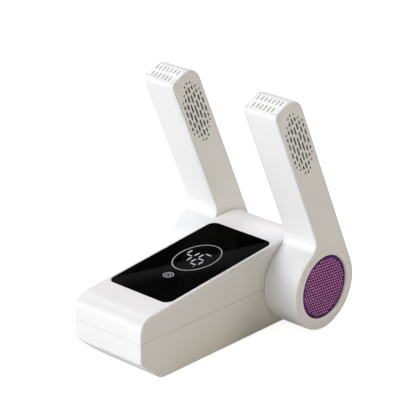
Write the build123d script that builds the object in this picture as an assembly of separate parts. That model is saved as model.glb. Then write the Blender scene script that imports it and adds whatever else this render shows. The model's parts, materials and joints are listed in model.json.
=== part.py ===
from build123d import *
import os
from math import atan2, cos, degrees, radians, sin, sqrt

# Folding two-arm boot dryer. A flat base carries a sloped glass control panel and, on each side of
# its rear drum, a round hub with a long air arm. Each hub holds a blower behind a round intake mesh
# and blows warm air up its arm, out of slots near the tip. Both arms fold down beside the base.
#
# Frame: millimetres, +Z up, -Y to the front, +X to the right of someone who faces the front.
# The origin is on the floor, under the middle of the base's length.

# ---------------------------------------------------------------- driving dimensions

WALL = 2.2                     # moulded wall of every shell
SEAM = 0.5                     # width and depth of the shadow gap between two shells

# base
BASE_HALF_WIDTH = 41.6
BASE_REACH = 205.0             # front face to hub axis
DRUM_R = 42.2                  # rear drum, coaxial with the hubs
DECK_SLOPE = 5.82              # degrees, the top falls towards the front
CHAMFER_Z = -20.0              # where the front face ends and the front chamfer starts
CHAMFER_Y = -179.5             # where the front chamfer meets the underside
BASE_RIM = 1.8                 # rounding of the base's side edges
DECK_FRONT_ROUND = 15.0
CHAMFER_TOP_ROUND = 4.0
CHAMFER_BOTTOM_ROUND = 15.0
FOOT_PROUD = 1.2               # rubber feet below the underside

# control panel, measured along the sloped deck
PANEL_WIDTH = 74.8
PANEL_LENGTH = 142.6
PANEL_MID = -92.1
PANEL_CORNER = 8.0
PANEL_THICK = 2.0
PANEL_GAP = 0.2
INLAY = 0.3                    # depth of the light marks in the panel
RING_MID_X = -0.3
RING_MID_U = -83.8
RING_X = 19.8
RING_U = 27.0
RING_STROKE = 1.0
KEY_X = 1.0
KEY_U = -123.5
KEY_R = 5.0
DIGIT_WIDTH = 10.4
DIGIT_HEIGHT = 22.6
DIGIT_STROKE = 1.5
DIGIT_BAR = 7.0                # length of every bar, so that none touches another
DIGIT_MID_X = -2.0
DIGIT_MID_U = -84.5
DIGIT_PITCH = 14.1
DOT_X = 8.9                    # small sign light beside the digits
DOT_U = -98.8
DOT_R = 0.55

# arms, drawn upright: t runs rearwards (+Y) and s runs up the arm (+Z) from the hub axis
ARM_INNER_X = 42.3
ARM_OUTER_X = 80.9
COVER_THICK = 3.0
HUB_R = 41.8
ARM_FRONT_T = 7.2
ARM_REACH = 202.7
TIP_FRONT_ROUND = 6.0
TIP_REAR_ROUND = 17.0
NECK_ROUND = 12.0
ARM_OUTER_RIM = 2.0            # rounding between the outer flat side and the narrow sides
ARM_INNER_RIM = 0.5
ARM_LEAN = 24.6                # degrees forward of upright, as it stands open
ARM_FOLD = 71.2                # degrees further forward to lie along the deck
INTAKE_R = 31.0
INTAKE_LIP = 1.7               # rounding of the hole's outer edge
INTAKE_SEAT_R = 27.6           # inside of the ledge that carries the mesh
BEZEL_LINE_R = 37.4            # fine groove round the intake
BEZEL_LINE = 0.3               # its width and depth

# outlet slots
SLOT_WIDTH = 1.9
SLOT_PITCH = 3.83
SLOT_MID_T = 24.5
SLOT_MID_S = 158.0
SLOT_WALL = 0.7                # the flat sides are thinned to this behind the slots
POCKET_WIDTH = 27.5            # the thinned field, where the screen sits
POCKET_LENGTH = 72.0
POCKET_CORNER = 13.0
SCREEN_THICK = 0.5
SCREEN_GAP = 0.05              # between a screen and the thinned wall
MESH_THICK = 0.5
TIP_SLOT_WIDTH = 1.4
TIP_SLOT_PITCH = 4.4
TIP_SLOT_LENGTH = 6.4

# hub fittings
TUBE_R = 13.0
TUBE_BORE_R = 9.5
RUNNING = 0.06                 # radial clearance of a turning fit
BUSH_R = 18.0
BUSH_FLANGE_R = 21.0
CUP_DEPTH = 4.6                # of the cup behind the side wall that holds the bush
BLOWER_R = 22.0
BLOWER_X0 = 58.0
BLOWER_X1 = 73.0
SHAFT_R = 1.0
SHAFT_BORE_R = 1.08
MOTOR_R = 11.0
MOTOR_X0 = 48.6
HOUSING_X0 = 55.6              # back plate of the blower housing
HOUSING_X1 = 57.2
HOUSING_END_X = 75.0           # free edge of its spiral wall

SPLIT_X = ARM_INNER_X + COVER_THICK
CASE_IN_X = ARM_OUTER_X - WALL
AXIS_Y = (BASE_REACH - DRUM_R) / 2
AXIS_Z = FOOT_PROUD + DRUM_R
FLOOR_Z = -DRUM_R + WALL       # inside face of the underside, from the hub axis
SLOPE = radians(DECK_SLOPE)

os.makedirs("parts", exist_ok=True)


# ---------------------------------------------------------------- helpers

def write(name, shape):
    """Writes one node. Shapes are drawn about the hub axis and moved to the floor's frame here."""
    solids = [Pos(0, AXIS_Y, AXIS_Z) * solid for solid in shape.solids()]
    export_step(Compound(children=solids) if len(solids) > 1 else solids[0], f"parts/{name}.step")


def write_arm(name, shape):
    """Writes a node of both arms: drawn upright on the +X side, leaned forward, then mirrored."""
    leaned = [Rot(ARM_LEAN, 0, 0) * solid for solid in shape.solids()]
    group = Compound(children=leaned)
    write(f"right_{name}", group)
    write(f"left_{name}", mirror(group, about=Plane.YZ))


def write_pair(name, shape):
    """Writes a node that both sides of the base have, drawn on the +X side."""
    write(f"right_{name}", shape)
    write(f"left_{name}", mirror(shape, about=Plane.YZ))


def across(sketch, x0, x1):
    """Prism of a (Y, Z) sketch between two planes of constant X."""
    return Pos(x0, 0, 0) * extrude(Plane.YZ * sketch, amount=x1 - x0)


def disc(radius, x0, x1, bore=0.0):
    """Round plate or tube along X on the hub axis."""
    sketch = Circle(radius)
    if bore > 0:
        sketch -= Circle(bore)
    return across(sketch, x0, x1)


def x_post(radius, t, s, x0, x1):
    """Round post along X at (t, s)."""
    return across(Pos(t, s) * Circle(radius), x0, x1)


def round_pattern(radius, angles):
    """Points (t, s) on a circle about the hub axis, angles in degrees from +t towards +s."""
    return [(radius * cos(radians(a)), radius * sin(radians(a))) for a in angles]


def on_deck(shape):
    """Turns a shape drawn flat, with the deck at height DRUM_R, onto the sloped deck."""
    return Rot(DECK_SLOPE, 0, 0) * shape


def plate(width, length, x, y, z0, z1, corner=0.0):
    """Flat plate with its middle at (x, y), between two heights."""
    sketch = RectangleRounded(width, length, corner) if corner else Rectangle(width, length)
    return Pos(x, y, z0) * extrude(sketch, amount=z1 - z0)


def post(radius, x, y, z0, z1):
    """Upright round post."""
    return Pos(x, y, z0) * extrude(Circle(radius), amount=z1 - z0)


def corners(x, y0, y1):
    """The four points at +-x and the two given lengths."""
    return [(side * x, y) for side in (1, -1) for y in (y0, y1)]


def joined(shapes):
    """Keeps separate solids as one group."""
    return Compound(children=[solid for shape in shapes for solid in shape.solids()])


def fused(shapes):
    total = shapes[0]
    for shape in shapes[1:]:
        total += shape
    return total


# ---------------------------------------------------------------- outlines

def base_outline(inset):
    """Side view of the base about the hub axis, drawn inward by inset."""
    drum = DRUM_R - inset
    front = -BASE_REACH + inset
    lean_y = CHAMFER_Y + BASE_REACH
    lean_z = CHAMFER_Z + DRUM_R
    run = sqrt(lean_y ** 2 + lean_z ** 2)

    def chamfer_z(y):
        return CHAMFER_Z - (y + BASE_REACH) * lean_z / lean_y + inset * run / lean_y

    def chamfer_y(z):
        return -BASE_REACH - (z - CHAMFER_Z - inset * run / lean_y) * lean_y / lean_z

    def deck_z(y):
        return drum / cos(SLOPE) + y * sin(SLOPE) / cos(SLOPE)

    path = FilletPolyline(
        (0, -drum),
        (chamfer_y(-drum), -drum),
        (front, chamfer_z(front)),
        (front, deck_z(front)),
        (-drum * sin(SLOPE), drum * cos(SLOPE)),
        radius=[CHAMFER_BOTTOM_ROUND - inset, CHAMFER_TOP_ROUND - inset, DECK_FRONT_ROUND - inset],
    )
    rear = CenterArc((0, 0), drum, -90, 180 + DECK_SLOPE)
    return make_face([*path.edges(), *rear.edges()])


def arm_outline(inset):
    """Side view of an upright arm about the hub axis, drawn inward by inset."""
    hub = HUB_R - inset
    front = ARM_FRONT_T + inset
    top = ARM_REACH - inset
    rear_round = TIP_REAR_ROUND - inset
    front_round = TIP_FRONT_ROUND - inset
    neck = NECK_ROUND + inset
    neck_t = front - neck
    neck_s = sqrt((hub + neck) ** 2 - neck_t ** 2)
    meet = degrees(atan2(neck_s, neck_t))
    edges = [
        Line((hub, 0), (hub, top - rear_round)),
        CenterArc((hub - rear_round, top - rear_round), rear_round, 0, 90),
        Line((hub - rear_round, top), (front + front_round, top)),
        CenterArc((front + front_round, top - front_round), front_round, 90, 90),
        Line((front, top - front_round), (front, neck_s)),
        CenterArc((neck_t, neck_s), neck, 0, meet - 180),
        CenterArc((0, 0), hub, meet, 360 - meet),
    ]
    return make_face([edge for curve in edges for edge in curve.edges()])


def slot_column(k):
    """Middles and lengths of the slots in column k, from the middle of the field upwards."""
    rows = {
        0: (0.0, 2.6, [15.0, 9.5, 7.0, 3.0]),
        1: (1.2, 2.3, [10.0, 7.5, 4.8, 2.6]),
        2: (0.0, 2.4, [10.0, 7.0, 4.3, 2.5]),
        3: (1.6, 2.4, [6.8, 4.3, 2.3]),
    }
    start, gap, lengths = rows[abs(k)]
    centred = start == 0.0
    slots = []
    at = start
    for index, length in enumerate(lengths):
        if centred and index == 0:
            slots.append((0.0, length))
            at = length / 2 + gap
            continue
        middle = at + length / 2
        slots.append((middle, length))
        slots.append((-middle, length))
        at += length + gap
    return slots


def slot_field():
    """The oval field of upright slots on both flat sides of an arm."""
    field = Sketch()
    for k in range(-3, 4):
        for middle, length in slot_column(k):
            slot = SlotOverall(length, SLOT_WIDTH, rotation=90)
            field += Pos(SLOT_MID_T + k * SLOT_PITCH, SLOT_MID_S + middle) * slot
    return field


def slot_pocket(inset):
    """Rounded outline round the slot field, where the wall is thin and the screen sits."""
    width = POCKET_WIDTH - 2 * inset
    length = POCKET_LENGTH - 2 * inset
    return Pos(SLOT_MID_T, SLOT_MID_S) * RectangleRounded(width, length, POCKET_CORNER - inset)


def tip_slots():
    """Cutters for the two rows of slots in the end of an arm: seven behind, six in front."""
    mid_x = (ARM_INNER_X + ARM_OUTER_X) / 2
    cutters = []
    for count, mid_t in ((7, 24.6), (6, 14.9)):
        for index in range(count):
            x = mid_x + (index - (count - 1) / 2) * TIP_SLOT_PITCH
            slot = SlotOverall(TIP_SLOT_LENGTH, TIP_SLOT_WIDTH, rotation=90)
            cutters.append(Pos(x, mid_t, ARM_REACH - 2 * WALL) * extrude(slot, amount=3 * WALL))
    return joined(cutters)


# ---------------------------------------------------------------- base shells

CASE_SCREWS = corners(31.0, -148.0, -40.0)
BOARD_SCREWS = corners(21.0, -136.0, -52.0)
DISPLAY_SCREWS = corners(27.5, -132.0, -54.0)
FEET = corners(30.0, -163.0, -11.0)
BOARD_Z = FLOOR_Z + 5.6
DECK_UNDER = DRUM_R - 3.8       # underside of the thickened deck
DISPLAY_Z = DRUM_R - 10.2       # top of the display board
INLET_Z0 = -19.0
INLET_Z1 = -5.0
INLET_X = 12.0
INLET_Y = 36.5

outer_base = across(base_outline(0), -BASE_HALF_WIDTH, BASE_HALF_WIDTH)
side_rims = [
    edge
    for face in (outer_base.faces().sort_by(Axis.X)[0], outer_base.faces().sort_by(Axis.X)[-1])
    for edge in face.edges()
]
outer_base = fillet(side_rims, BASE_RIM)
inner_half = BASE_HALF_WIDTH - WALL
inner_base = across(base_outline(WALL), -inner_half, inner_half)
seam_core = across(base_outline(SEAM), -BASE_HALF_WIDTH + SEAM, BASE_HALF_WIDTH - SEAM)
below = Pos(0, -80, -60) * Box(120, 300, 120)
above = Pos(0, -80, 60) * Box(120, 300, 120)


def bush_cups():
    """Cup behind each side wall that traps a pivot bush's flange."""
    x0 = inner_half - CUP_DEPTH
    cup = disc(BUSH_FLANGE_R + 2.4, x0, inner_half, bore=BUSH_FLANGE_R + 0.2)
    lip = disc(BUSH_FLANGE_R + 2.4, x0, x0 + 2.2, bore=BUSH_R + 0.6)
    side = cup + lip
    return side, mirror(side, about=Plane.YZ)


def bush_bores():
    return disc(BUSH_R, -BASE_HALF_WIDTH - 1, BASE_HALF_WIDTH + 1)


def lower_shell():
    shell = (outer_base - inner_base) & below
    cups = [cup & below for cup in bush_cups()]
    collar = Pos(0, 36.6, -12) * Box(2 * INLET_X + 3.2, 6.4, INLET_Z1 - INLET_Z0 + 3.2)
    collar = collar & across(Circle(DRUM_R - 0.4), -30, 30)
    shell = fused([shell, *cups, collar])
    for x, y in CASE_SCREWS:
        shell += post(3.6, x, y, FLOOR_Z - 0.4, -0.5)
    for x, y in BOARD_SCREWS:
        shell += post(2.6, x, y, FLOOR_Z - 0.4, BOARD_Z)
    shell -= bush_bores()
    shell -= seam_ring() & (Pos(0, -80, -SEAM / 2) * Box(120, 300, SEAM))
    for x, y in CASE_SCREWS:
        shell -= post(1.7, x, y, -DRUM_R - 1, 1)
        shell -= post(3.2, x, y, -DRUM_R - 1, -DRUM_R + 12)
    for x, y in BOARD_SCREWS:
        shell -= post(1.1, x, y, BOARD_Z - 4, BOARD_Z + 1)
    for x, y in FEET:
        shell -= post(6.1, x, y, -DRUM_R - 1, -DRUM_R + 1.0)
    inlet_cut = Pos(0, 40, -12) * Box(2 * INLET_X, 20, INLET_Z1 - INLET_Z0)
    return shell - inlet_cut


def seam_ring():
    return outer_base - seam_core


def upper_shell():
    shell = (outer_base - inner_base) & above
    cups = [cup & above for cup in bush_cups()]
    backing = plate(2 * inner_half, PANEL_LENGTH + 8, 0, PANEL_MID, DECK_UNDER, DRUM_R - WALL + 0.4)
    backing = on_deck(backing) & across(base_outline(WALL - 0.4), -inner_half, inner_half)
    shell = fused([shell, *cups, backing])
    for x, y in CASE_SCREWS:
        shell += post(3.6, x, y, 0, DECK_UNDER + y * sin(SLOPE) + 2.0)
    for x, y in DISPLAY_SCREWS:
        shell += on_deck(post(2.6, x, y, DISPLAY_Z, DECK_UNDER + 0.4))
    shell -= bush_bores()
    pocket = plate(
        PANEL_WIDTH + 2 * PANEL_GAP,
        PANEL_LENGTH + 2 * PANEL_GAP,
        0,
        PANEL_MID,
        DRUM_R - PANEL_THICK,
        DRUM_R + 5,
        PANEL_CORNER + PANEL_GAP,
    )
    window = plate(48, 122, 0, PANEL_MID, DRUM_R - 6, DRUM_R, 5)
    shell -= on_deck(pocket)
    shell -= on_deck(window)
    for x, y in CASE_SCREWS:
        shell -= post(1.25, x, y, -1, 12)
    for x, y in DISPLAY_SCREWS:
        shell -= on_deck(post(1.1, x, y, DISPLAY_Z - 1, DISPLAY_Z + 5))
    return shell


write("lower_shell", lower_shell())
write("upper_shell", upper_shell())


# ---------------------------------------------------------------- control panel

def segment(length):
    """One bar of a digit, lying along X, with pointed ends."""
    half = length / 2
    side = DIGIT_STROKE / 2
    points = [(-half, 0), (-half + side, side), (half - side, side), (half, 0)]
    points += [(half - side, -side), (-half + side, -side)]
    return make_face(Polyline(*points, close=True).edges())


def digit(lit):
    """Seven-bar digit with the named bars: a top, b c right, d bottom, e f left, g middle."""
    half_w = (DIGIT_WIDTH - DIGIT_STROKE) / 2
    half_h = (DIGIT_HEIGHT - DIGIT_STROKE) / 2
    across_bar = segment(DIGIT_BAR)
    upright_bar = Rot(0, 0, 90) * across_bar
    places = {
        "a": Pos(0, half_h) * across_bar,
        "b": Pos(half_w, half_h / 2) * upright_bar,
        "c": Pos(half_w, -half_h / 2) * upright_bar,
        "d": Pos(0, -half_h) * across_bar,
        "e": Pos(-half_w, -half_h / 2) * upright_bar,
        "f": Pos(-half_w, half_h / 2) * upright_bar,
        "g": across_bar,
    }
    return fused([places[name] for name in lit])


def inlay(sketch):
    return Pos(0, 0, DRUM_R - INLAY) * extrude(sketch, amount=INLAY)


def digit_bars():
    first = Pos(-DIGIT_PITCH / 2, 0) * digit("fgbc")
    second = Pos(DIGIT_PITCH / 2, 0) * digit("afgecd")
    dot = Pos(DOT_X, DOT_U) * Circle(DOT_R)
    return inlay(Pos(DIGIT_MID_X, DIGIT_MID_U) * (first + second) + dot)


def oval_ring(outer_x, outer_u, stroke):
    return Ellipse(outer_x, outer_u) - Ellipse(outer_x - stroke, outer_u - stroke)


def display_ring():
    return inlay(Pos(RING_MID_X, RING_MID_U) * oval_ring(RING_X, RING_U, RING_STROKE))


def touch_mark():
    """Round key mark: a ring with an open arc and a short bar in it."""
    stroke = 0.7
    ring = Circle(KEY_R) - Circle(KEY_R - stroke)
    arc = (Circle(2.6) - Circle(2.6 - stroke)) - Pos(0, 2.2) * Rectangle(2.2, 3)
    bar = Pos(0, 1.8) * Rectangle(stroke, 2.4)
    return inlay(Pos(KEY_X, KEY_U) * fused([ring, arc, bar]))


marks = [digit_bars(), display_ring(), touch_mark()]
panel = plate(PANEL_WIDTH, PANEL_LENGTH, 0, PANEL_MID, DRUM_R - PANEL_THICK, DRUM_R, PANEL_CORNER)
panel = fillet(panel.faces().sort_by(Axis.Z)[-1].edges(), 0.25)
for mark in marks:
    panel -= mark
write("display_window", on_deck(panel))
write("digit_bars", on_deck(marks[0]))
write("display_ring", on_deck(marks[1]))
write("touch_mark", on_deck(marks[2]))

guide_top = DRUM_R - PANEL_THICK - 0.1
guide_ring = oval_ring(RING_X + 0.5, RING_U + 0.5, 2.0)
light_guide = Pos(RING_MID_X, RING_MID_U, DISPLAY_Z) * extrude(guide_ring, amount=guide_top - DISPLAY_Z)
write("light_guide", on_deck(light_guide))

led_module = plate(26.0, 24.0, DIGIT_MID_X, DIGIT_MID_U, DISPLAY_Z, DISPLAY_Z + 7.0, 0.8)
write("led_module", on_deck(led_module))

touch_pad = post(4.0, KEY_X, KEY_U, DISPLAY_Z, guide_top)
write("touch_pad", on_deck(fillet(touch_pad.edges().filter_by(GeomType.CIRCLE), 0.6)))

display_board = plate(62.0, 90.0, 0, -93.0, DISPLAY_Z - 1.6, DISPLAY_Z, 2.0)
for x, y in DISPLAY_SCREWS:
    display_board -= post(1.4, x, y, DISPLAY_Z - 3, DISPLAY_Z + 1)
write("display_board", on_deck(display_board))


# ---------------------------------------------------------------- boards and power inlet

def pan_screw(shank_r, head_r, head_h, length):
    """Pan-head screw, head down: the shank starts at z = 0 and goes up, the head hangs below."""
    head = post(head_r, 0, 0, -head_h, 0)
    head = fillet(head.faces().sort_by(Axis.Z)[0].edges(), head_h * 0.45)
    cross = Pos(0, 0, -head_h) * (Box(head_r * 1.1, 0.7, 1.2) + Box(0.7, head_r * 1.1, 1.2))
    on_base = (Align.CENTER, Align.CENTER, Align.MIN)
    tip = Pos(0, 0, length - shank_r) * Cone(shank_r, 0.3, shank_r, align=on_base)
    return post(shank_r, 0, 0, 0, length - shank_r) + tip + head - cross


case_screw = pan_screw(1.25, 2.7, 1.9, DRUM_R - 12 + 9)
write("case_screws", joined([Pos(x, y, -DRUM_R + 12) * case_screw for x, y in CASE_SCREWS]))

small_screw = pan_screw(1.1, 2.1, 1.4, 5.0)
board_screws = [Pos(x, y, BOARD_Z + 1.6) * Rot(180, 0, 0) * small_screw for x, y in BOARD_SCREWS]
for x, y in DISPLAY_SCREWS:
    board_screws.append(on_deck(Pos(x, y, DISPLAY_Z - 1.6) * small_screw))
write("board_screws", joined(board_screws))

control_board = plate(50.0, 96.0, 0, -94.0, BOARD_Z, BOARD_Z + 1.6, 2.0)
for x, y in BOARD_SCREWS:
    control_board -= post(1.4, x, y, BOARD_Z - 1, BOARD_Z + 3)
write("control_board", control_board)

BOARD_TOP = BOARD_Z + 1.6
transformer = plate(22, 20, 8, -68, BOARD_TOP + 2, BOARD_TOP + 16, 1.0)
core = plate(26, 12, 8, -68, BOARD_TOP, BOARD_TOP + 18, 0.8)
write("power_transformer", transformer + core)

capacitors = []
for x, y, radius, height in ((-12, -66, 5.0, 20.0), (-13, -80, 4.0, 14.0), (14, -88, 4.0, 12.0)):
    can = post(radius, x, y, BOARD_TOP, BOARD_TOP + height)
    capacitors.append(fillet(can.edges().filter_by(GeomType.CIRCLE), 0.6))
write("capacitors", joined(capacitors))

relays = [plate(15, 19, x, -118, BOARD_TOP, BOARD_TOP + 15.5, 0.8) for x in (-9, 9)]
relays = [fillet(relay.faces().sort_by(Axis.Z)[-1].edges(), 0.6) for relay in relays]
write("heater_relays", joined(relays))

buzzer = post(6.0, -13, -98, BOARD_TOP, BOARD_TOP + 8.5)
sound_hole = post(1.0, -13, -98, BOARD_TOP + 5, BOARD_TOP + 9)
write("buzzer", buzzer - sound_hole)


PIN_X = 4.3                     # the inlet's two pins are this far either side of the middle
PIN_R = 1.2


def inlet_mouth():
    """Figure-of-eight mouth of a two-pin mains inlet."""
    return Pos(-PIN_X, 0) * Circle(4.4) + Pos(PIN_X, 0) * Circle(4.4) + Rectangle(2 * PIN_X, 6.6)


inlet_mid_z = (INLET_Z0 + INLET_Z1) / 2
inlet_height = INLET_Z1 - INLET_Z0
inlet_plane = Plane(origin=(0, INLET_Y, inlet_mid_z), x_dir=(1, 0, 0), z_dir=(0, -1, 0))
power_inlet = extrude(inlet_plane * Rectangle(2 * INLET_X, inlet_height), amount=16)
power_inlet -= extrude(inlet_plane * inlet_mouth(), amount=13)
pin_holes = inlet_plane * (Pos(-PIN_X, 0) * Circle(PIN_R) + Pos(PIN_X, 0) * Circle(PIN_R))
power_inlet -= extrude(pin_holes, amount=20)
write("power_inlet", power_inlet)

inlet_pins = Pos(0, -1.5, 0) * extrude(pin_holes, amount=20)
write("inlet_pins", inlet_pins)

terminal_y = -53.0
terminal = plate(16.0, 8.0, 0, terminal_y, BOARD_TOP, BOARD_TOP + 9.0, 0.6)
write("terminal_block", terminal)

LEAD_R = 1.3
lead_z = BOARD_TOP + LEAD_R + 1.2
leads = []
for x in (-PIN_X, PIN_X):
    route = FilletPolyline(
        (x, INLET_Y - 21.5, inlet_mid_z),
        (x, INLET_Y - 32.0, inlet_mid_z),
        (x, -14.0, lead_z),
        (x, terminal_y + 4.0, lead_z),
        radius=[10.0, 14.0],
    )
    start = Plane(origin=route @ 0, z_dir=route % 0)
    leads.append(sweep(start * Circle(LEAD_R), path=route))
write("inlet_leads", joined(leads))

feet = []
for x, y in FEET:
    foot = post(6.0, x, y, -DRUM_R - FOOT_PROUD, -DRUM_R + 1.0)
    feet.append(fillet(foot.faces().sort_by(Axis.Z)[0].edges(), 0.5))
write("rubber_feet", joined(feet))


# ---------------------------------------------------------------- pivots

ARM_SCREWS = round_pattern(34.6, (160, 235, 310))
PIVOT_SCREWS = round_pattern(16.5, (90, 210, 330))
CUP_X0 = inner_half - CUP_DEPTH
STOP_X0 = CUP_X0 - 1.6
CLIP_X0 = CUP_X0 - 1.5
CLIP_X1 = CUP_X0 - 0.5
STOP_INNER_R = 16.4
STOP_OUTER_R = 19.6
TAB_HALF = 8.0                  # degrees
STOP_GAP = 1.5                  # degrees left at each end of the travel


def sector(radius, start, size):
    """Pie slice in the (Y, Z) plane, angles in degrees from +Y towards +Z."""
    arc = CenterArc((0, 0), radius, start, size)
    closing = [Line((0, 0), arc @ 0), Line(arc @ 1, (0, 0))]
    return make_face([*arc.edges(), *[edge for line in closing for edge in line.edges()]])


def pivot_bush():
    """Plain bush held in the side wall, with a stop rib on its inner end for the arm's tab."""
    bush = disc(BUSH_R, CUP_X0, BASE_HALF_WIDTH, bore=TUBE_R + RUNNING)
    bush += disc(BUSH_FLANGE_R, inner_half - 2.2, inner_half, bore=BUSH_R - 1)
    tab_at = 90 + ARM_LEAN
    free_start = tab_at - ARM_LEAN - TAB_HALF - STOP_GAP
    free_size = ARM_LEAN + ARM_FOLD + 2 * (TAB_HALF + STOP_GAP)
    rib = sector(BUSH_R, free_start + free_size, 360 - free_size) - Circle(STOP_INNER_R)
    return bush + across(rib, STOP_X0, CUP_X0 + 0.5)


write_pair("pivot_bush", pivot_bush())

tube = disc(TUBE_R, CLIP_X0 - 2.0, SPLIT_X, bore=TUBE_BORE_R)
tube += disc(20.0, SPLIT_X, SPLIT_X + 2.0, bore=TUBE_BORE_R)
tube -= disc(TUBE_R + 1, CLIP_X0, CLIP_X1, bore=TUBE_R - 1.0)
for t, s in PIVOT_SCREWS:
    tube -= x_post(1.1, t, s, SPLIT_X - 1, SPLIT_X + 3)
write_arm("pivot_tube", tube)

clip = Circle(15.4) + (sector(17.4, 90 - TAB_HALF, 2 * TAB_HALF) - Circle(14))
clip -= Circle(TUBE_R - 1.0)
clip -= Pos(0, -14) * Rectangle(16, 14)
write_arm("pivot_clip", across(clip, CLIP_X0, CLIP_X1))

washer = disc(15.6, CUP_X0 - 0.45, CUP_X0 - 0.1, bore=TUBE_R + 0.1)
write_arm("friction_washer", washer)


# ---------------------------------------------------------------- arm shells

full_arm = across(arm_outline(0), ARM_INNER_X, ARM_OUTER_X)
full_arm = fillet(full_arm.faces().sort_by(Axis.X)[-1].edges(), ARM_OUTER_RIM)
full_arm = fillet(full_arm.faces().sort_by(Axis.X)[0].edges(), ARM_INNER_RIM)
slots = slot_field()


def arm_case():
    """Outer shell: the outer flat side and the wall all round, with the round intake."""
    case = full_arm & (Pos(SPLIT_X + 50, 0, 80) * Box(100, 300, 400))
    case -= across(arm_outline(WALL), SPLIT_X - 1, CASE_IN_X)
    for t, s in ARM_SCREWS:
        case += x_post(3.0, t, s, SPLIT_X, CASE_IN_X + 0.4)
        case -= x_post(1.25, t, s, SPLIT_X - 1, SPLIT_X + 14)
    case -= across(slots, CASE_IN_X - 1, ARM_OUTER_X + 1)
    case -= across(slot_pocket(0), CASE_IN_X - 1, ARM_OUTER_X - SLOT_WALL)
    case -= tip_slots()
    case -= disc(INTAKE_R, CASE_IN_X - 1, ARM_OUTER_X + 1)
    line = BEZEL_LINE / 2
    case -= disc(BEZEL_LINE_R + line, ARM_OUTER_X - BEZEL_LINE, ARM_OUTER_X + 1, BEZEL_LINE_R - line)
    circles = case.edges().filter_by(GeomType.CIRCLE)
    intake_edges = circles.filter_by(lambda edge: abs(edge.radius - INTAKE_R) < 0.01)
    return fillet([intake_edges.sort_by(Axis.X)[-1]], INTAKE_LIP)


def arm_cover():
    """Inner flat side with its rounded rim, a locating lip and the opening for the pivot tube."""
    cover = full_arm & (Pos(SPLIT_X - 50, 0, 80) * Box(100, 300, 400))
    lip = across(arm_outline(WALL + 0.1) - arm_outline(WALL + 1.3), SPLIT_X - 0.4, SPLIT_X + 1.8)
    cover += lip
    groove = across(arm_outline(-1) - arm_outline(0.4), SPLIT_X - 0.35, SPLIT_X)
    cover -= groove
    cover -= across(slots, ARM_INNER_X - 1, SPLIT_X + 1)
    cover -= across(slot_pocket(0), ARM_INNER_X + SLOT_WALL, SPLIT_X + 1)
    cover -= disc(TUBE_R, ARM_INNER_X - 1, SPLIT_X + 1)
    for t, s in ARM_SCREWS:
        cover -= x_post(4.2, t, s, SPLIT_X, SPLIT_X + 3)
        cover -= x_post(1.5, t, s, ARM_INNER_X - 1, SPLIT_X + 1)
        cover -= x_post(2.9, t, s, ARM_INNER_X - 1, ARM_INNER_X + 1.8)
    for t, s in PIVOT_SCREWS:
        cover -= x_post(1.1, t, s, SPLIT_X - 2.2, SPLIT_X + 1)
    return cover


write_arm("arm_case", arm_case())
write_arm("arm_cover", arm_cover())

outer_screen_x = ARM_OUTER_X - SLOT_WALL - SCREEN_GAP
inner_screen_x = ARM_INNER_X + SLOT_WALL + SCREEN_GAP
outlet_screens = [
    across(slot_pocket(0.25), outer_screen_x - SCREEN_THICK, outer_screen_x),
    across(slot_pocket(0.25), inner_screen_x, inner_screen_x + SCREEN_THICK),
]
write_arm("outlet_screens", joined(outlet_screens))

arm_screw = Rot(0, 90, 0) * pan_screw(1.25, 2.6, 1.5, 13.0)
arm_screws = [Pos(ARM_INNER_X + 1.8, t, s) * arm_screw for t, s in ARM_SCREWS]
write_arm("arm_screws", joined(arm_screws))

pivot_screw = Rot(0, -90, 0) * pan_screw(1.1, 2.0, 1.3, 4.0)
pivot_screws = [Pos(SPLIT_X + 2.0, t, s) * pivot_screw for t, s in PIVOT_SCREWS]
write_arm("pivot_screws", joined(pivot_screws))


# ---------------------------------------------------------------- intake and blower

write_arm("intake_mesh", disc(INTAKE_R - 0.1, CASE_IN_X, CASE_IN_X + MESH_THICK))

ring = disc(INTAKE_R + 1.6, CASE_IN_X - 2.0, CASE_IN_X, bore=INTAKE_SEAT_R)
for t, s in ARM_SCREWS:
    ring -= x_post(3.1, t, s, CASE_IN_X - 4, CASE_IN_X + 1)
write_arm("intake_ring", ring)


def blower_housing():
    """Back plate and spiral wall round the impeller, open upwards into the arm."""
    wall_r = 29.0
    back = disc(wall_r, HOUSING_X0, HOUSING_X1)
    back += across(Pos(19.2, 24) * Rectangle(19.4, 32), HOUSING_X0, HOUSING_X1)
    wall = Circle(wall_r) - Circle(wall_r - 1.4)
    wall -= Pos(19.2, 26) * Rectangle(16.6, 40)
    front_wall = Pos(10.2, 39) * Rectangle(1.4, 24)
    rear_wall = Pos(28.2, 25) * Rectangle(1.4, 52)
    body = back + across(wall, HOUSING_X0, HOUSING_END_X)
    body += across(front_wall + rear_wall, HOUSING_X0, HOUSING_END_X)
    body = body & across(arm_outline(WALL + 1.4), HOUSING_X0, HOUSING_END_X)
    return body - disc(MOTOR_R + 0.2, HOUSING_X0 - 1, HOUSING_X1 + 1)


def blower_motor():
    """Round motor with a groove round its can; its front end fills the hole in the back plate."""
    can = disc(MOTOR_R, MOTOR_X0, HOUSING_X0, bore=SHAFT_BORE_R)
    nose = disc(MOTOR_R + 0.2, HOUSING_X0, HOUSING_X1, bore=SHAFT_BORE_R)
    groove = disc(MOTOR_R + 1, MOTOR_X0 + 2.0, MOTOR_X0 + 2.5, bore=MOTOR_R - 0.5)
    return can + nose - groove


write_arm("blower_housing", blower_housing())
write_arm("blower_motor", blower_motor())
write_arm("blower_shaft", disc(SHAFT_R, MOTOR_X0 - 0.4, BLOWER_X1 - 3))


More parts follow.
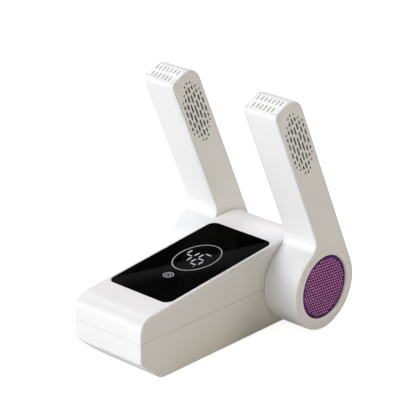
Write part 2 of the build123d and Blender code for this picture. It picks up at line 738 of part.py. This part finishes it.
def impeller():
    """Forward-curved blower wheel: hub, back plate, ring of blades and front ring."""
    wheel = disc(BLOWER_R, BLOWER_X0, BLOWER_X0 + 1.2, bore=SHAFT_R)
    wheel += disc(5.0, BLOWER_X0, BLOWER_X1 - 4, bore=SHAFT_R)
    wheel += disc(BLOWER_R, BLOWER_X1 - 1.2, BLOWER_X1, bore=BLOWER_R - 1.6)
    blade = Rot(0, 0, 28) * Rectangle(4.4, 0.8)
    count = 24
    for index in range(count):
        turned = Rot(0, 0, 360 * index / count) * (Pos(BLOWER_R - 2.5, 0) * blade)
        wheel += across(turned, BLOWER_X0 + 0.6, BLOWER_X1 - 0.6)
    return wheel


write_arm("blower_impeller", impeller())


# ---------------------------------------------------------------- heater in the arm

HEATER_S0 = 62.0
HEATER_S1 = 84.0
channel_t = (ARM_FRONT_T + HUB_R) / 2
channel_x = (SPLIT_X + CASE_IN_X) / 2
channel_width = HUB_R - ARM_FRONT_T - 2 * WALL
channel_depth = CASE_IN_X - SPLIT_X

frame_outer_t = channel_width - 3.2
frame_outer_x = channel_depth - 1.0
heater_frame = plate(frame_outer_x, frame_outer_t, channel_x, channel_t, HEATER_S0, HEATER_S1, 1.0)
heater_frame -= plate(
    frame_outer_x - 3.0, frame_outer_t - 3.0, channel_x, channel_t, HEATER_S0 - 1, HEATER_S1 + 1
)
write_arm("heater_frame", heater_frame)

bar_t = 3.0
bars = [
    plate(frame_outer_x - 3.0, bar_t, channel_x, channel_t + side * 4.6, HEATER_S0 + 4, HEATER_S1 - 4)
    for side in (1, -1)
]
write_arm("heater_bars", joined(bars))

fins = []
fin_count = 13
fin_span = frame_outer_x - 5.0
inner_t = (frame_outer_t - 3.0) / 2
stacks = ((-inner_t, -4.6 - bar_t / 2), (-4.6 + bar_t / 2, 4.6 - bar_t / 2), (4.6 + bar_t / 2, inner_t))
for low, high in stacks:
    for index in range(fin_count):
        x = channel_x + fin_span * (index / (fin_count - 1) - 0.5)
        middle = channel_t + (low + high) / 2
        fins.append(plate(0.5, high - low, x, middle, HEATER_S0 + 5, HEATER_S1 - 5))
write_arm("heater_fins", joined(fins))

cutout = plate(8.0, 5.0, channel_x, channel_t, HEATER_S1 + 0.2, HEATER_S1 + 8.0, 1.0)
cutout += plate(frame_outer_x - 0.5, 2.0, channel_x, channel_t, HEATER_S1, HEATER_S1 + 1.0)
write_arm("thermal_cutout", cutout)
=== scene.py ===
import json
import math

import bmesh
import bpy
from mathutils import Matrix, Quaternion, Vector


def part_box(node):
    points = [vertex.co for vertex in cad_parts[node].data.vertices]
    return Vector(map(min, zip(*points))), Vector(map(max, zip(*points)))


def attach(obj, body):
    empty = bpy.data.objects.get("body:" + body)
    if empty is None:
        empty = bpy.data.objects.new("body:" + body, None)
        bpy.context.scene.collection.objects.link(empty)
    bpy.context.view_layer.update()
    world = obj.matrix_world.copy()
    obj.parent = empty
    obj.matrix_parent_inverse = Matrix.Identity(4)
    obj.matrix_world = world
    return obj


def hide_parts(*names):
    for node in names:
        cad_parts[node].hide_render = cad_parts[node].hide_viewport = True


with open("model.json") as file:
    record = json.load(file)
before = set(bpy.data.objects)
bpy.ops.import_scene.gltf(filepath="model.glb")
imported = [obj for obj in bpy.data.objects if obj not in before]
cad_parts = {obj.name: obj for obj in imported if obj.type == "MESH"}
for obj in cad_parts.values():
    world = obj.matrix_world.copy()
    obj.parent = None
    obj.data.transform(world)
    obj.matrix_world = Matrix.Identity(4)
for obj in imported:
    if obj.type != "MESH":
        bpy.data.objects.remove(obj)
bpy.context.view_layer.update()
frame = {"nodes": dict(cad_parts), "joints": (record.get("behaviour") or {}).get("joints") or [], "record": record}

# A folding boot dryer: a white base with a black panel, and a slotted white arm on each side of it.
# Lengths are in metres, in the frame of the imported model: +Z up, -Y to the front, +X on the right
# of someone who faces the front.

MM = 0.001
SIDES = {"right": 1.0, "left": -1.0}
JOINTS = {joint["name"]: joint for joint in frame["joints"]}
AXIS = Vector((0.0, *JOINTS["right_arm_fold"]["pos_m"][1:]))     # hub axis, at mid width


# ---------------------------------------------------------------- shader building blocks

def new_material(name):
    """An empty node material and its shader."""
    made = bpy.data.materials.new(name)
    made.use_nodes = True
    return made, made.node_tree.nodes["Principled BSDF"]


def add(material, kind, **settings):
    """Adds a node and sets its plain properties."""
    node = material.node_tree.nodes.new(kind)
    for key, value in settings.items():
        setattr(node, key, value)
    return node


def link(material, source, target):
    material.node_tree.links.new(source, target)


def object_place(material):
    """Place on the piece, in metres, in its own frame."""
    return add(material, "ShaderNodeTexCoord").outputs["Object"]


def noise(material, size, detail=3.0, stretch=(1.0, 1.0, 1.0)):
    """Noise whose features are about size metres across, fixed to the object."""
    mapping = add(material, "ShaderNodeMapping")
    mapping.inputs["Scale"].default_value = stretch
    link(material, object_place(material), mapping.inputs["Vector"])
    node = add(material, "ShaderNodeTexNoise")
    node.inputs["Scale"].default_value = 1.0 / size
    node.inputs["Detail"].default_value = detail
    link(material, mapping.outputs["Vector"], node.inputs["Vector"])
    return node.outputs["Fac"]


def waves(material, direction, size, distortion=0.0):
    """Bands across one direction of the object, at a pitch of about a third of size."""
    node = add(material, "ShaderNodeTexWave", bands_direction=direction)
    node.inputs["Scale"].default_value = 1.0 / size
    node.inputs["Distortion"].default_value = distortion
    link(material, object_place(material), node.inputs["Vector"])
    return node.outputs["Fac"]


def spread(material, value, low, high, from_low=0.3, from_high=0.7):
    """Maps a value to a range. The default input range is the one that noise mostly fills."""
    node = add(material, "ShaderNodeMapRange")
    node.inputs["From Min"].default_value = from_low
    node.inputs["From Max"].default_value = from_high
    node.inputs["To Min"].default_value = low
    node.inputs["To Max"].default_value = high
    link(material, value, node.inputs["Value"])
    return node.outputs["Result"]


def along(material, start, end):
    """Value that runs from 0 at start to 1 at end, both (x, y) on the object, and is clamped beyond."""
    run = Vector((end[0] - start[0], end[1] - start[1], 0.0))
    dot = add(material, "ShaderNodeVectorMath", operation="DOT_PRODUCT")
    dot.inputs[1].default_value = run / run.length_squared
    link(material, object_place(material), dot.inputs[0])
    shift = Vector((*start, 0.0)).dot(run) / run.length_squared
    return spread(material, dot.outputs["Value"], 0.0, 1.0, shift, shift + 1.0)


def product(material, first, second):
    node = add(material, "ShaderNodeMath", operation="MULTIPLY")
    link(material, first, node.inputs[0])
    link(material, second, node.inputs[1])
    return node.outputs["Value"]


def blend_colours(material, value, dark, light):
    """Colour that runs from dark to light with a 0 to 1 value."""
    node = add(material, "ShaderNodeMix", data_type="RGBA")
    node.inputs[6].default_value = (*dark, 1.0)
    node.inputs[7].default_value = (*light, 1.0)
    link(material, value, node.inputs[0])
    return node.outputs[2]


def bump(material, shader, height, depth, strength=1.0):
    """Raises the surface by up to depth metres where height is 1."""
    node = add(material, "ShaderNodeBump")
    node.inputs["Distance"].default_value = depth
    node.inputs["Strength"].default_value = strength
    link(material, height, node.inputs["Height"])
    link(material, node.outputs["Normal"], shader.inputs["Normal"])


def scaled(colour, factor):
    return tuple(min(1.0, channel * factor) for channel in colour)


# ---------------------------------------------------------------- materials, one per slot

def surface(name, colour, roughness, mottle=0.04, grain=0.4 * MM, depth=0.01 * MM, **sockets):
    """A moulded or coated surface: faint mottling, uneven gloss and a fine grain."""
    material, shader = new_material(name)
    patches = noise(material, 22 * MM, detail=4.0)
    colours = blend_colours(material, patches, scaled(colour, 1 - mottle), scaled(colour, 1 + mottle))
    link(material, colours, shader.inputs["Base Color"])
    wear = noise(material, 6 * MM, detail=5.0)
    link(material, spread(material, wear, roughness * 0.88, roughness * 1.12), shader.inputs["Roughness"])
    bump(material, shader, noise(material, grain, detail=2.0), depth, strength=0.5)
    for socket, value in sockets.items():
        shader.inputs[socket.replace("_", " ")].default_value = value
    return material


def shell_plastic(name):
    """Satin white moulding with a fine spark-eroded grain."""
    return surface(name, (0.80, 0.80, 0.80), 0.42, mottle=0.006, grain=0.35 * MM, depth=0.006 * MM,
                   Specular_IOR_Level=0.42)


PANEL_INK = (0.0012, 0.0012, 0.0012)
# Grey painted into the panel's colour as a slanting painted reflection band
PANEL_PAINTED_REFLECTION = (0.012, 0.0115, 0.012)
PANEL_SPECULAR = 0.003                     # next to none, like coated glass
# The painted reflection begins at a crisp slanting line and fades out towards the front right.
# Both runs go from no painted reflection to full painted reflection, and their ends are (x, y) from the hub axis.
PAINTED_REFLECTION_CRISP = ((-10.5 * MM, -108 * MM), (-8.5 * MM, -109 * MM))
PAINTED_REFLECTION_SOFT = ((20 * MM, -116 * MM), (4 * MM, -105 * MM))


def black_panel():
    """Polished black acrylic with a faint slanting painted reflection in its colour, and wiping marks in its
    gloss.
    """
    material, shader = new_material("panel_black")
    crisp, soft = [
        along(material, *[(x, AXIS.y + y) for x, y in ends])
        for ends in (PAINTED_REFLECTION_CRISP, PAINTED_REFLECTION_SOFT)
    ]
    uneven = spread(material, noise(material, 30 * MM, detail=4.0), 0.75, 1.0)
    # Mask of the painted reflection: the crisp run, the soft run and a little unevenness
    painted_reflection = product(material, product(material, crisp, soft), uneven)
    link(material, blend_colours(material, painted_reflection, PANEL_INK, PANEL_PAINTED_REFLECTION), shader.inputs["Base Color"])
    wipes = noise(material, 9 * MM, detail=6.0, stretch=(1.0, 0.2, 1.0))
    link(material, spread(material, wipes, 0.06, 0.13), shader.inputs["Roughness"])
    bump(material, shader, noise(material, 60 * MM, detail=1.0), 0.02 * MM, strength=0.3)
    shader.inputs["Specular IOR Level"].default_value = PANEL_SPECULAR
    return material


def lit_mark(name, glow):
    """Milky light window, lit from below a little unevenly."""
    material, shader = new_material(name)
    patches = noise(material, 3 * MM)
    colours = blend_colours(material, patches, (0.26, 0.26, 0.27), (0.34, 0.34, 0.355))
    link(material, colours, shader.inputs["Base Color"])
    link(material, colours, shader.inputs["Emission Color"])
    link(material, spread(material, patches, 0.25, 0.4), shader.inputs["Roughness"])
    shader.inputs["Emission Strength"].default_value = glow
    return material


def circuit_board():
    """Green solder mask with paler copper tracks under it."""
    material, shader = new_material("circuit_green")
    tracks = add(material, "ShaderNodeTexBrick")
    tracks.inputs["Scale"].default_value = 1.0 / (9 * MM)
    tracks.inputs["Mortar Size"].default_value = 0.05
    tracks.inputs["Color1"].default_value = (0.010, 0.085, 0.035, 1.0)
    tracks.inputs["Color2"].default_value = (0.014, 0.110, 0.045, 1.0)
    tracks.inputs["Mortar"].default_value = (0.05, 0.26, 0.10, 1.0)
    link(material, object_place(material), tracks.inputs["Vector"])
    link(material, tracks.outputs["Color"], shader.inputs["Base Color"])
    link(material, spread(material, noise(material, 2 * MM), 0.3, 0.45), shader.inputs["Roughness"])
    bump(material, shader, tracks.outputs["Fac"], 0.03 * MM)
    return material


def drawn_metal(name, colour, roughness, stretch):
    """Metal with fine lines along the direction in which its noise is stretched."""
    material, shader = new_material(name)
    lines = noise(material, 0.5 * MM, detail=2.0, stretch=stretch)
    colours = blend_colours(material, lines, scaled(colour, 0.9), scaled(colour, 1.06))
    link(material, colours, shader.inputs["Base Color"])
    link(material, spread(material, lines, roughness * 0.8, roughness * 1.3), shader.inputs["Roughness"])
    bump(material, shader, lines, 0.008 * MM)
    shader.inputs["Metallic"].default_value = 1.0
    return material


def winding():
    """Varnished copper winding: close round turns."""
    material, shader = new_material("copper_core")
    turns = waves(material, "Z", 4 * MM, distortion=0.4)
    colours = blend_colours(material, turns, (0.10, 0.035, 0.012), (0.45, 0.19, 0.07))
    link(material, colours, shader.inputs["Base Color"])
    link(material, spread(material, noise(material, 3 * MM), 0.3, 0.5), shader.inputs["Roughness"])
    bump(material, shader, turns, 0.2 * MM)
    return material


def anodised_purple(name, dark, light, metallic):
    """Purple anodised metal, paler where the colour is thin."""
    material, shader = new_material(name)
    thin = noise(material, 7 * MM, detail=5.0)
    link(material, blend_colours(material, thin, dark, light), shader.inputs["Base Color"])
    link(material, spread(material, noise(material, 0.8 * MM), 0.24, 0.4), shader.inputs["Roughness"])
    bump(material, shader, noise(material, 0.25 * MM, detail=2.0), 0.02 * MM)
    shader.inputs["Metallic"].default_value = metallic
    return material


def dust_net_painted_shade():
    """Fine woven net behind the purple mesh, coloured dark as painted shade in the holes between the wires."""
    material, shader = new_material("dust_net_painted_shade")
    upright, level = [waves(material, direction, 5.2 * MM) for direction in ("Y", "Z")]
    weave = product(material, upright, level)
    # Dark purple: the net's colour, darkened as painted shade seen through the holes between the wires
    colours = blend_colours(material, weave, (0.040, 0.004, 0.038), (0.095, 0.009, 0.085))
    link(material, colours, shader.inputs["Base Color"])
    link(material, spread(material, noise(material, 3 * MM), 0.6, 0.8), shader.inputs["Roughness"])
    bump(material, shader, weave, 0.1 * MM)
    shader.inputs["Specular IOR Level"].default_value = 0.1
    return material


# Mouldings, coatings and gauze: colour, roughness, mottling, size of the grain and its depth
SURFACES = {
    # Near-black gauze behind the arms' slots; its darkness is partly painted shade inside the slots
    "screen_black": ((0.012, 0.012, 0.013), 0.7, 0.20, 0.4 * MM, 0.05 * MM),
    "dark_plastic": ((0.022, 0.022, 0.024), 0.5, 0.15, 0.5 * MM, 0.03 * MM),
    "grey_plastic": ((0.30, 0.30, 0.31), 0.5, 0.05, 0.5 * MM, 0.02 * MM),
    "heat_plastic": ((0.11, 0.09, 0.075), 0.6, 0.12, 0.6 * MM, 0.03 * MM),
    "ceramic": ((0.52, 0.49, 0.43), 0.75, 0.10, 0.3 * MM, 0.03 * MM),
    "rubber": ((0.035, 0.035, 0.036), 0.8, 0.15, 0.5 * MM, 0.05 * MM),
    "acetal": ((0.74, 0.73, 0.69), 0.35, 0.02, 0.8 * MM, 0.01 * MM),
    "lead_sleeve": ((0.08, 0.10, 0.24), 0.45, 0.05, 1.0 * MM, 0.02 * MM),
}

# Bare metals: colour, roughness and the stretch of their drawing lines, longest where it is least
METALS = {
    "steel": ((0.60, 0.60, 0.61), 0.30, (1.0, 1.0, 0.1)),
    "aluminium": ((0.80, 0.81, 0.82), 0.28, (1.0, 0.1, 1.0)),
    "brass": ((0.80, 0.60, 0.28), 0.25, (1.0, 0.1, 1.0)),
}

MATERIALS = {
    "shell_white": shell_plastic("shell_white"),
    "arm_white": shell_plastic("arm_white"),
    "panel_black": black_panel(),
    "panel_marks": lit_mark("panel_marks", glow=0.8),
    "light_guide": surface("light_guide", (0.78, 0.79, 0.80), 0.35, Subsurface_Weight=0.2),
    "intake_purple": anodised_purple("intake_purple", (0.17, 0.012, 0.16), (0.28, 0.030, 0.26), 0.3),
    "circuit_green": circuit_board(),
    "copper_core": winding(),
    **{name: surface(name, *look) for name, look in SURFACES.items()},
    **{name: drawn_metal(name, *look) for name, look in METALS.items()},
}

# Marks that glow less than the digits do
DIM_MARKS = {
    "display_ring": lit_mark("ring_mark", glow=0.25),
    "touch_mark": lit_mark("key_mark", glow=0.5),
}

for row in frame["record"]["subparts"]:
    node = frame["nodes"][row["node"]]
    node.data.materials.clear()
    node.data.materials.append(DIM_MARKS.get(row["node"], MATERIALS[row["material_slot"]]))


# ---------------------------------------------------------------- mesh building blocks

def new_piece(name, made):
    """Object in the scene with a bmesh's mesh. The bmesh is freed."""
    mesh = bpy.data.meshes.new(name)
    made.to_mesh(mesh)
    made.free()
    piece = bpy.data.objects.new(name, mesh)
    bpy.context.scene.collection.objects.link(piece)
    return piece


def circle(made, x, radius, count, middle=(0.0, 0.0)):
    """Loop of vertices round the X axis, or round a line beside it through middle, as (y, z)."""
    angles = [2 * math.pi * k / count for k in range(count)]
    y, z = middle
    return [made.verts.new((x, y + radius * math.cos(a), z + radius * math.sin(a))) for a in angles]


def band(made, first, second):
    """Closed band of faces between two loops of as many vertices."""
    count = len(first)
    for k in range(count):
        after = (k + 1) % count
        made.faces.new((first[k], first[after], second[after], second[k]))


def fan(made, loop, middle):
    """Faces from a loop to one vertex."""
    for here, after in zip(loop, loop[1:] + loop[:1]):
        made.faces.new((here, after, middle))


def apply_modifiers(piece):
    """Keeps the evaluated mesh and drops the modifiers."""
    seen = bpy.context.evaluated_depsgraph_get()
    mesh = bpy.data.meshes.new_from_object(piece.evaluated_get(seen))
    piece.modifiers.clear()
    piece.data = mesh


def shade_smooth(piece):
    for polygon in piece.data.polygons:
        polygon.use_smooth = True


# ---------------------------------------------------------------- purple intake meshes

PITCH = 3.34 * MM              # between neighbouring wire crossings
ROW_ANGLE = math.radians(-5.0)
WIRE = 0.8 * MM                # width of the flattened wires
FLATTEN = 0.35                 # their thickness over their width
KNUCKLE_R = 0.86 * MM          # round bulge where the wires cross
KNUCKLE_HIGH = 0.5 * MM
KNUCKLE_STEPS = (0.0, 0.55, 0.85)      # heights of its loops, over its own height
KNUCKLE_SIDES = 10
RIM_WIDTH = 2.9 * MM           # low rounded bead round the mesh
RIM_HIGH = 1.0 * MM
RIM_STEPS = 10
RIM_SIDES = 96
DUST_THICK = 0.15 * MM
DUST_RINGS = 14
DUST_SIDES = 72
WIRES_LIFT = 0.75 * MM         # height of the wires and knuckles above the dust net
WIRES_MARGIN = 1.2 * MM        # from the hole's wall to the outermost crossings
KNUCKLES_MARGIN = 3.2 * MM     # from the hole's wall to the outermost knuckles
DUST_MARGIN = 0.6 * MM         # from the hole's wall to the dust net
TRIANGLES = (((0, 0), (0, 1), (1, 0)), ((0, 0), (1, 0), (1, -1)))     # corners, as (row, column)

# Near-black purple on the bead round the mesh: painted shade for the shadowed edge of the hole
RIM_PAINTED_SHADE = anodised_purple("rim_painted_shade", (0.05, 0.008, 0.09), (0.11, 0.02, 0.16), 1.0)
# Far paler than the wires' own purple: painted highlight on the knuckles where the wires cross
KNUCKLE_PAINTED_HIGHLIGHT = anodised_purple("knuckle_painted_highlight", (0.66, 0.24, 0.64), (1.0, 0.50, 0.96), 0.1)
DUST_NET_PAINTED_SHADE = dust_net_painted_shade()


def crossings(radius):
    """Wire crossings within a radius, by row and column, as (y, z) in a net of equal triangles."""
    reach = int(radius / PITCH) + 3        # rows on each side, with a few to spare
    turn = Matrix.Rotation(ROW_ANGLE, 2)
    places = {}
    for row in range(-reach, reach + 1):
        for column in range(-2 * reach, 2 * reach + 1):
            place = turn @ Vector((PITCH * (column + 0.5 * row), PITCH * row * math.sqrt(3) / 2))
            if place.length < radius:
                places[row, column] = place
    return places


def woven_wires(name, radius):
    """Flat net of wires in three directions, centred on the plane x = 0."""
    made = bmesh.new()
    verts = {key: made.verts.new((0.0, *place)) for key, place in crossings(radius).items()}
    for row, column in verts:
        for corners in TRIANGLES:
            keys = [(row + up, column + across) for up, across in corners]
            if all(key in verts for key in keys):
                made.faces.new([verts[key] for key in keys])
    net = new_piece(name, made)
    wires = net.modifiers.new("wires", "WIREFRAME")
    wires.thickness = WIRE
    wires.use_boundary = True
    wires.use_even_offset = False
    rounding = net.modifiers.new("rounding", "SUBSURF")
    rounding.levels = rounding.render_levels = 1
    apply_modifiers(net)
    net.data.transform(Matrix.Scale(FLATTEN, 4, (1, 0, 0)))
    return net


def knuckles(name, radius):
    """Low round bulges on the plane x = 0, one on every crossing within a radius."""
    made = bmesh.new()
    for place in crossings(radius).values():
        loops = [
            circle(made, KNUCKLE_HIGH * step, KNUCKLE_R * math.sqrt(1.0 - step ** 2), KNUCKLE_SIDES, place)
            for step in KNUCKLE_STEPS
        ]
        made.faces.new(loops[0][::-1])
        for low, high in zip(loops, loops[1:]):
            band(made, low, high)
        fan(made, loops[-1], made.verts.new((KNUCKLE_HIGH, *place)))
    return new_piece(name, made)


def rim(name, radius):
    """Low rounded bead that stands on the plane x = 0, with its outside at the radius."""
    made = bmesh.new()
    loops = []
    for i in range(RIM_STEPS + 1):
        angle = math.pi * i / RIM_STEPS
        reach = radius - RIM_WIDTH / 2 + RIM_WIDTH / 2 * math.cos(angle)
        loops.append(circle(made, RIM_HIGH * math.sin(angle), reach, RIM_SIDES))
    for first, second in zip(loops, loops[1:] + loops[:1]):
        band(made, first, second)
    bmesh.ops.recalc_face_normals(made, faces=made.faces)
    return new_piece(name, made)


def round_net(name, radius):
    """Thin flat disc just below the plane x = 0."""
    made = bmesh.new()
    middle = made.verts.new((0.0, 0.0, 0.0))
    loops = [circle(made, 0.0, radius * i / DUST_RINGS, DUST_SIDES) for i in range(1, DUST_RINGS + 1)]
    fan(made, loops[0], middle)
    for inner, outer in zip(loops, loops[1:]):
        band(made, outer, inner)
    disc = new_piece(name, made)
    disc.modifiers.new("thick", "SOLIDIFY").thickness = DUST_THICK
    apply_modifiers(disc)
    return disc


def intake(side):
    """Woven wires with their knuckles, the rim round them and the dust net behind, in one hub."""
    outward = SIDES[side]
    low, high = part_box(f"{side}_intake_mesh")
    radius = (high.z - low.z) / 2
    inside = low.x if outward > 0 else high.x
    place = Matrix.Translation((inside, AXIS.y, AXIS.z)) @ Matrix.Scale(outward, 4, (1, 0, 0))
    wires = woven_wires(f"{side}_woven_mesh", radius - WIRES_MARGIN)
    bulges = knuckles(f"{side}_mesh_knuckles", radius - KNUCKLES_MARGIN)
    pieces = {
        wires: MATERIALS["intake_purple"],
        bulges: KNUCKLE_PAINTED_HIGHLIGHT,
        rim(f"{side}_mesh_rim", radius): RIM_PAINTED_SHADE,
        round_net(f"{side}_dust_net_painted_shade", radius - DUST_MARGIN): DUST_NET_PAINTED_SHADE,
    }
    for piece in (wires, bulges):
        piece.data.transform(Matrix.Translation((WIRES_LIFT, 0, 0)))
    for piece, material in pieces.items():
        piece.data.transform(place)
        if outward < 0:
            piece.data.flip_normals()
        piece.data.materials.clear()
        piece.data.materials.append(material)
        shade_smooth(piece)
        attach(piece, f"{side}_arm")
    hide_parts(f"{side}_intake_mesh")


for side in SIDES:
    intake(side)


# ---------------------------------------------------------------- floor and surroundings

WHITE = (1.0, 1.0, 1.0, 1.0)
FLOOR_HALF = 6.0
FLOOR_SEEN = (0.95, 0.95, 0.95, 1.0)
FLOOR_GLOW = 0.8                        # makes the floor a little overexposed, as in the photograph
FLOOR_LIT = (0.7, 0.7, 0.7, 1.0)        # sets how much light the floor throws back up


def seen_or_lit(tree, seen, lit):
    """Shader that the camera sees as one colour and that every other ray meets as another."""
    path = tree.nodes.new("ShaderNodeLightPath")
    mix = tree.nodes.new("ShaderNodeMixShader")
    tree.links.new(path.outputs["Is Camera Ray"], mix.inputs[0])
    tree.links.new(lit, mix.inputs[1])
    tree.links.new(seen, mix.inputs[2])
    return mix.outputs[0]


def plain_floor():
    """Wide white floor under the feet that throws only a soft light back up."""
    made = bmesh.new()
    bmesh.ops.create_grid(made, x_segments=1, y_segments=1, size=FLOOR_HALF)
    floor = new_piece("floor", made)
    material, shader = new_material("floor")
    shader.inputs["Base Color"].default_value = FLOOR_SEEN
    shader.inputs["Emission Color"].default_value = WHITE
    shader.inputs["Emission Strength"].default_value = FLOOR_GLOW
    shader.inputs["Specular IOR Level"].default_value = 0.0
    dull = add(material, "ShaderNodeBsdfDiffuse")
    dull.inputs["Color"].default_value = FLOOR_LIT
    tree = material.node_tree
    mixed = seen_or_lit(tree, shader.outputs["BSDF"], dull.outputs["BSDF"])
    tree.links.new(mixed, tree.nodes["Material Output"].inputs["Surface"])
    floor.data.materials.append(material)


def studio_world():
    """White surroundings for the camera, dark for everything else."""
    world = bpy.data.worlds.new("studio")
    world.use_nodes = True
    tree = world.node_tree
    dark = tree.nodes["Background"]
    dark.inputs["Color"].default_value = (0.0, 0.0, 0.0, 1.0)
    white = tree.nodes.new("ShaderNodeBackground")
    white.inputs["Color"].default_value = WHITE
    mixed = seen_or_lit(tree, white.outputs["Background"], dark.outputs["Background"])
    tree.links.new(mixed, tree.nodes["World Output"].inputs["Surface"])
    bpy.context.scene.world = world


# ---------------------------------------------------------------- light and camera

# Azimuth and elevation in degrees, and colour. Azimuth 0 is the front and 90 the right.
SUNS = {
    "front_left": (-30, 15, (0.67, 0.67, 0.62)),
    "front": (-10, 15, (0.24, 0.26, 0.36)),
    "low_right": (45, 10, (0.20, 0.18, 0.10)),
    "high_left": (-110, 45, (0.40, 0.40, 0.41)),
    "high_right": (150, 45, (0.50, 0.44, 0.38)),
    "high_rear": (180, 40, (0.19, 0.21, 0.28)),
}
SUN_WIDTH = math.radians(40.0)          # wide enough for soft edges between light and shade

CAMERA_AZIMUTH = 42.16
CAMERA_ELEVATION = 22.34
CAMERA_ROLL = math.radians(0.56)
CAMERA_AIM = AXIS + Vector((-25.82, -45.23, 62.77)) * MM      # what is in the middle of the picture
CAMERA_DISTANCE = 1.911
CAMERA_LENS = 177.2                     # mm, before a sensor 36 mm wide


def towards(azimuth, elevation):
    """Unit vector from the object towards a light or the camera."""
    turn, lift = math.radians(azimuth), math.radians(elevation)
    return Vector((math.sin(turn) * math.cos(lift), -math.cos(turn) * math.cos(lift), math.sin(lift)))


def soft_sun(name, azimuth, elevation, colour):
    """Very wide distant light."""
    light = bpy.data.lights.new(name, "SUN")
    light.energy = math.pi              # a white sun, head on, makes a surface as bright as its colour
    light.color = colour
    light.angle = SUN_WIDTH
    lamp = bpy.data.objects.new(name, light)
    lamp.rotation_mode = "QUATERNION"
    lamp.rotation_quaternion = towards(azimuth, elevation).to_track_quat("Z", "Y")
    bpy.context.scene.collection.objects.link(lamp)


def photo_camera():
    """Camera at the photograph's viewing angle."""
    back = towards(CAMERA_AZIMUTH, CAMERA_ELEVATION)
    turn = back.to_track_quat("Z", "Y") @ Quaternion((0.0, 0.0, 1.0), CAMERA_ROLL)
    camera = bpy.data.objects.new("camera", bpy.data.cameras.new("camera"))
    camera.data.sensor_width = 36.0
    camera.data.lens = CAMERA_LENS
    camera.data.clip_end = 20.0
    camera.matrix_world = Matrix.LocRotScale(CAMERA_AIM + back * CAMERA_DISTANCE, turn, None)
    bpy.context.scene.collection.objects.link(camera)
    bpy.context.scene.camera = camera


plain_floor()
studio_world()
for name, sun in SUNS.items():
    soft_sun(name, *sun)
photo_camera()
bpy.context.scene.view_settings.view_transform = "Standard"
